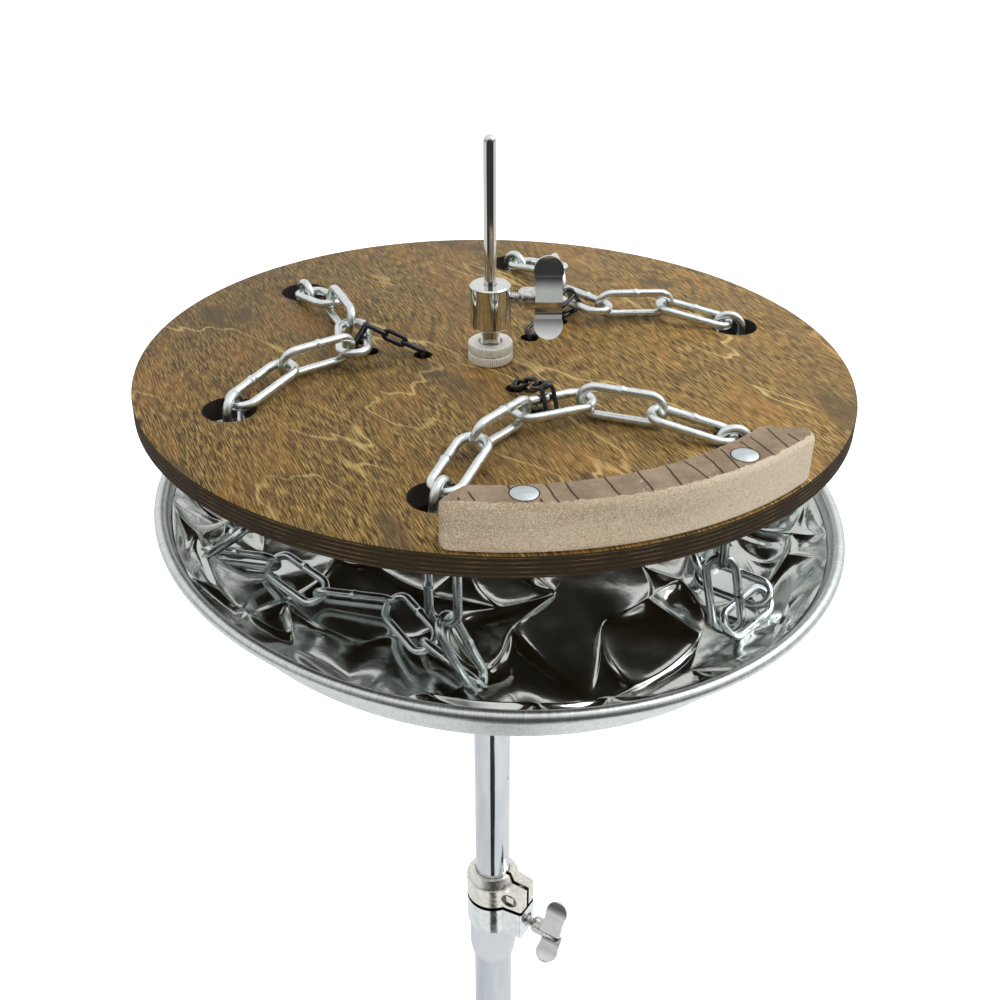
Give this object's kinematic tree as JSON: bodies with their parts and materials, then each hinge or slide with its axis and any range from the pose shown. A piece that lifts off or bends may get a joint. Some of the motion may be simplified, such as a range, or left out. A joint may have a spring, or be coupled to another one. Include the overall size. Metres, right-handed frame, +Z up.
{
  "type": "effects cymbal",
  "caption": "Hi-hat style effects cymbal: chain laced wood disc on a clutch and pull rod over a crumpled galvanised pan on the top section of its stand.",
  "frame": {"origin": "centre of the lower end of the stand's lower tube", "axes": "+Z up along the stand's tubes and the pull rod, +X to the right and -Y towards the front, as the picture shows it"},
  "size_m": [0.3615, 0.3607, 0.633],
  "materials": {
    "stained_wood": "dark stained, satin",
    "raw_wood": "rough sawn",
    "cap_metal": "matt",
    "zinc": "bright zinc plated",
    "black_chain": "gloss black",
    "galvanised": "galvanised, crumpled and bright inside",
    "chrome": "polished",
    "nickel": "nickel plated",
    "nylon": "satin",
    "felt": "pressed felt",
    "spring_steel": "bright"
  },
  "bodies": {
    "stand": {"lower_tube": "chrome", "tube_ferrule": "nylon", "height_clamp": "chrome"},
    "clamp_wing": {"clamp_wing_bolt": "chrome"},
    "upper_stage": {"upper_tube": "chrome", "rod_guide": "nylon", "spring_seat": "nylon", "return_spring": "spring_steel", "seat_cup": "nickel"},
    "collar": {"memory_collar": "nickel"},
    "collar_bolt": {"memory_key_bolt": "nickel"},
    "rod": {"pull_rod": "chrome", "rod_collar": "nickel"},
    "clutch": {"clutch_body": "chrome", "wood_board": "stained_wood", "wood_block": "raw_wood", "block_disc_left": "cap_metal", "block_disc_right": "cap_metal", "lower_washer": "chrome", "chain_loop_a": "zinc", "chain_loop_b": "zinc", "chain_loop_c": "zinc", "tie_a": "black_chain", "tie_b": "black_chain", "tie_c": "black_chain"},
    "clutch_wing": {"clutch_wing_bolt": "chrome"},
    "top_nut": {"knurled_nut": "nickel"},
    "lock_nut": {"knurled_lock_nut": "nickel"},
    "bottom_nut": {"lower_nut": "nickel"},
    "seat_and_pan": {"tilt_plate": "chrome", "seat_felt": "felt", "pan": "galvanised"},
    "pad": {"tilter_pad": "nylon"},
    "screw": {"tilter_screw": "nickel"},
    "strand_a": {"link_a1": "zinc", "link_a2": "zinc", "link_a3": "zinc", "link_a4": "zinc", "link_a5": "zinc", "link_a6": "zinc", "link_a7": "zinc"},
    "strand_b": {"link_b1": "zinc", "link_b2": "zinc", "link_b3": "zinc", "link_b4": "zinc", "link_b5": "zinc", "link_b6": "zinc", "link_b7": "zinc"},
    "strand_c": {"link_c1": "zinc", "link_c2": "zinc", "link_c3": "zinc", "link_c4": "zinc", "link_c5": "zinc", "link_c6": "zinc", "link_c7": "zinc"}
  },
  "joints": [
    {"name": "height_slide", "type": "slide", "parent": "stand", "child": "upper_stage", "axis": [0, 0, 1], "range_m": [0, 0.07]},
    {"name": "clamp_wing_turn", "type": "hinge", "parent": "stand", "child": "clamp_wing", "pos_m": [0.0208, -0.013, 0.1199], "axis": [0.848, -0.5299, 0], "range_deg": [0, 540]},
    {"name": "collar_slide", "type": "slide", "parent": "upper_stage", "child": "collar", "axis": [0, 0, 1], "range_m": [0, 0.06]},
    {"name": "collar_bolt_turn", "type": "hinge", "parent": "collar", "child": "collar_bolt", "pos_m": [0.01569, -0.0098, 0.1415], "axis": [-0.5299, -0.848, 0], "range_deg": [0, 540]},
    {"name": "pull_stroke", "type": "slide", "parent": "upper_stage", "child": "rod", "axis": [0, 0, 1], "range_m": [-0.025, 0], "stiffness_N_per_m": 1500, "springref_m": 0.03, "deforming": ["chain_loop_a", "chain_loop_b", "chain_loop_c", "return_spring"]},
    {"name": "clutch_slide", "type": "slide", "parent": "rod", "child": "clutch", "axis": [0, 0, 1], "range_m": [0, 0.04], "deforming": ["chain_loop_a", "chain_loop_b", "chain_loop_c"]},
    {"name": "clutch_wing_turn", "type": "hinge", "parent": "clutch", "child": "clutch_wing", "pos_m": [0.0103, 0, 0.5531], "axis": [1, 0, 0], "range_deg": [0, 540]},
    {"name": "top_nut_turn", "type": "hinge", "parent": "clutch", "child": "top_nut", "pos_m": [0, 0, 0.528], "axis": [0, 0, 1], "range_deg": [0, 360]},
    {"name": "lock_nut_turn", "type": "hinge", "parent": "clutch", "child": "lock_nut", "pos_m": [0, 0, 0.5229], "axis": [0, 0, 1], "range_deg": [0, 360]},
    {"name": "bottom_nut_turn", "type": "hinge", "parent": "clutch", "child": "bottom_nut", "pos_m": [0, 0, 0.5017], "axis": [0, 0, 1], "range_deg": [0, 360]},
    {"name": "pan_tilt", "type": "hinge", "parent": "upper_stage", "child": "seat_and_pan", "pos_m": [0, 0, 0.402], "axis": [0.3007, 0.9537, 0], "range_deg": [-3.54, 3]},
    {"name": "pad_slide", "type": "slide", "parent": "upper_stage", "child": "pad", "axis": [0, 0, 1], "range_m": [-0.0016, 0.0014]},
    {"name": "tilter_screw_turn", "type": "hinge", "parent": "pad", "child": "screw", "pos_m": [-0.02241, 0.00707, 0.3845], "axis": [0, 0, 1], "range_deg": [-540, 460]},
    {"name": "strand_a_rattle", "type": "slide", "parent": "clutch", "child": "strand_a", "axis": [0, 0, 1], "range_m": [0, 0.003], "deforming": ["chain_loop_a", "chain_loop_b", "chain_loop_c", "tie_a"]},
    {"name": "strand_b_rattle", "type": "slide", "parent": "clutch", "child": "strand_b", "axis": [0, 0, 1], "range_m": [0, 0.003], "deforming": ["chain_loop_a", "chain_loop_b", "chain_loop_c", "tie_b"]},
    {"name": "strand_c_rattle", "type": "slide", "parent": "clutch", "child": "strand_c", "axis": [0, 0, 1], "range_m": [0, 0.003], "deforming": ["chain_loop_a", "chain_loop_b", "chain_loop_c", "tie_c"]}
  ],
  "couplings": [
    {"joint": "pad_slide", "follows": "pan_tilt", "m_per_rad": 0.0235},
    {"joint": "tilter_screw_turn", "follows": "pan_tilt", "ratio": 147.7}
  ]
}
